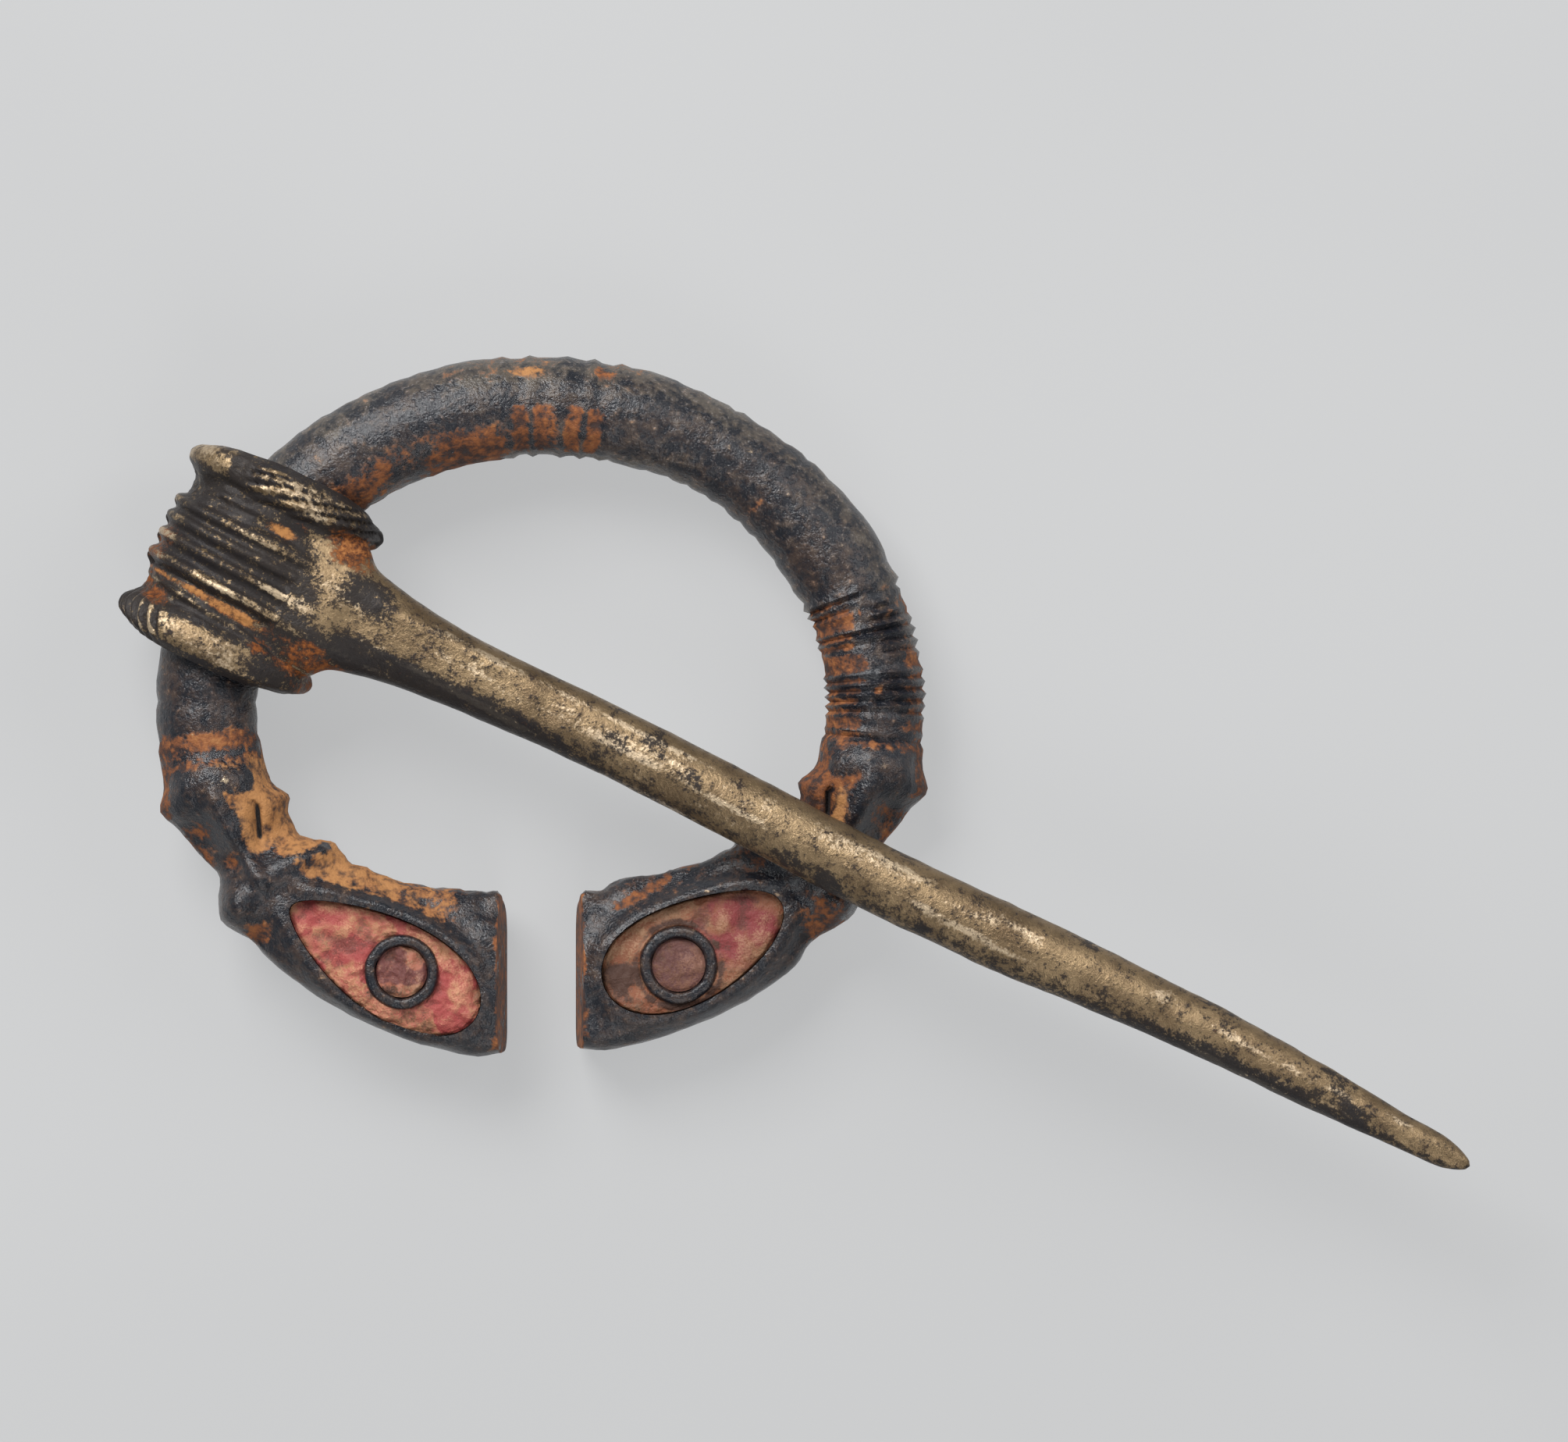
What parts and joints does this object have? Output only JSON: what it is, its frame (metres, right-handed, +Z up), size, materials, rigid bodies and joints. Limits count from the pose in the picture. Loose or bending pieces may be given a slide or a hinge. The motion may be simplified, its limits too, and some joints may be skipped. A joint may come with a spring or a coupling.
{
  "type": "penannular brooch",
  "caption": "Cast penannular brooch: oval ribbed hoop with animal-head terminals inlaid with enamel, and a long pin that swings on it.",
  "frame": {"origin": "centre of the bounding box at its bottom, on the surface that the brooch lies on", "axes": "+X to the right of the picture, the way the pin points; +Y up the picture, from the gap to the top of the hoop; +Z up, out of the hoop's front"},
  "size_m": [0.0882, 0.0532, 0.0119],
  "materials": {
    "dark_bronze": "near-black glossy patina with orange-brown crust in the hollows",
    "golden_bronze": "golden bronze, worn, with dark pits and patches",
    "rose_enamel": "rough decayed enamel, salmon pink and red on tan",
    "rust_enamel": "rough decayed enamel, tan-orange with a crimson patch",
    "plum_enamel": "rough decayed enamel, brown-purple"
  },
  "bodies": {
    "hoop": {"ring": "dark_bronze", "enamel_field_left": "rose_enamel", "enamel_disc_left": "rose_enamel", "enamel_field_right": "rust_enamel", "enamel_disc_right": "plum_enamel"},
    "pin": {"pin": "golden_bronze"}
  },
  "joints": [
    {"name": "pin_swing", "type": "hinge", "parent": "hoop", "child": "pin", "pos_m": [-0.03554, 0.01256, 0.00543], "axis": [-0.4369, -0.8995, -0.0058], "range_deg": [0, 340]}
  ]
}
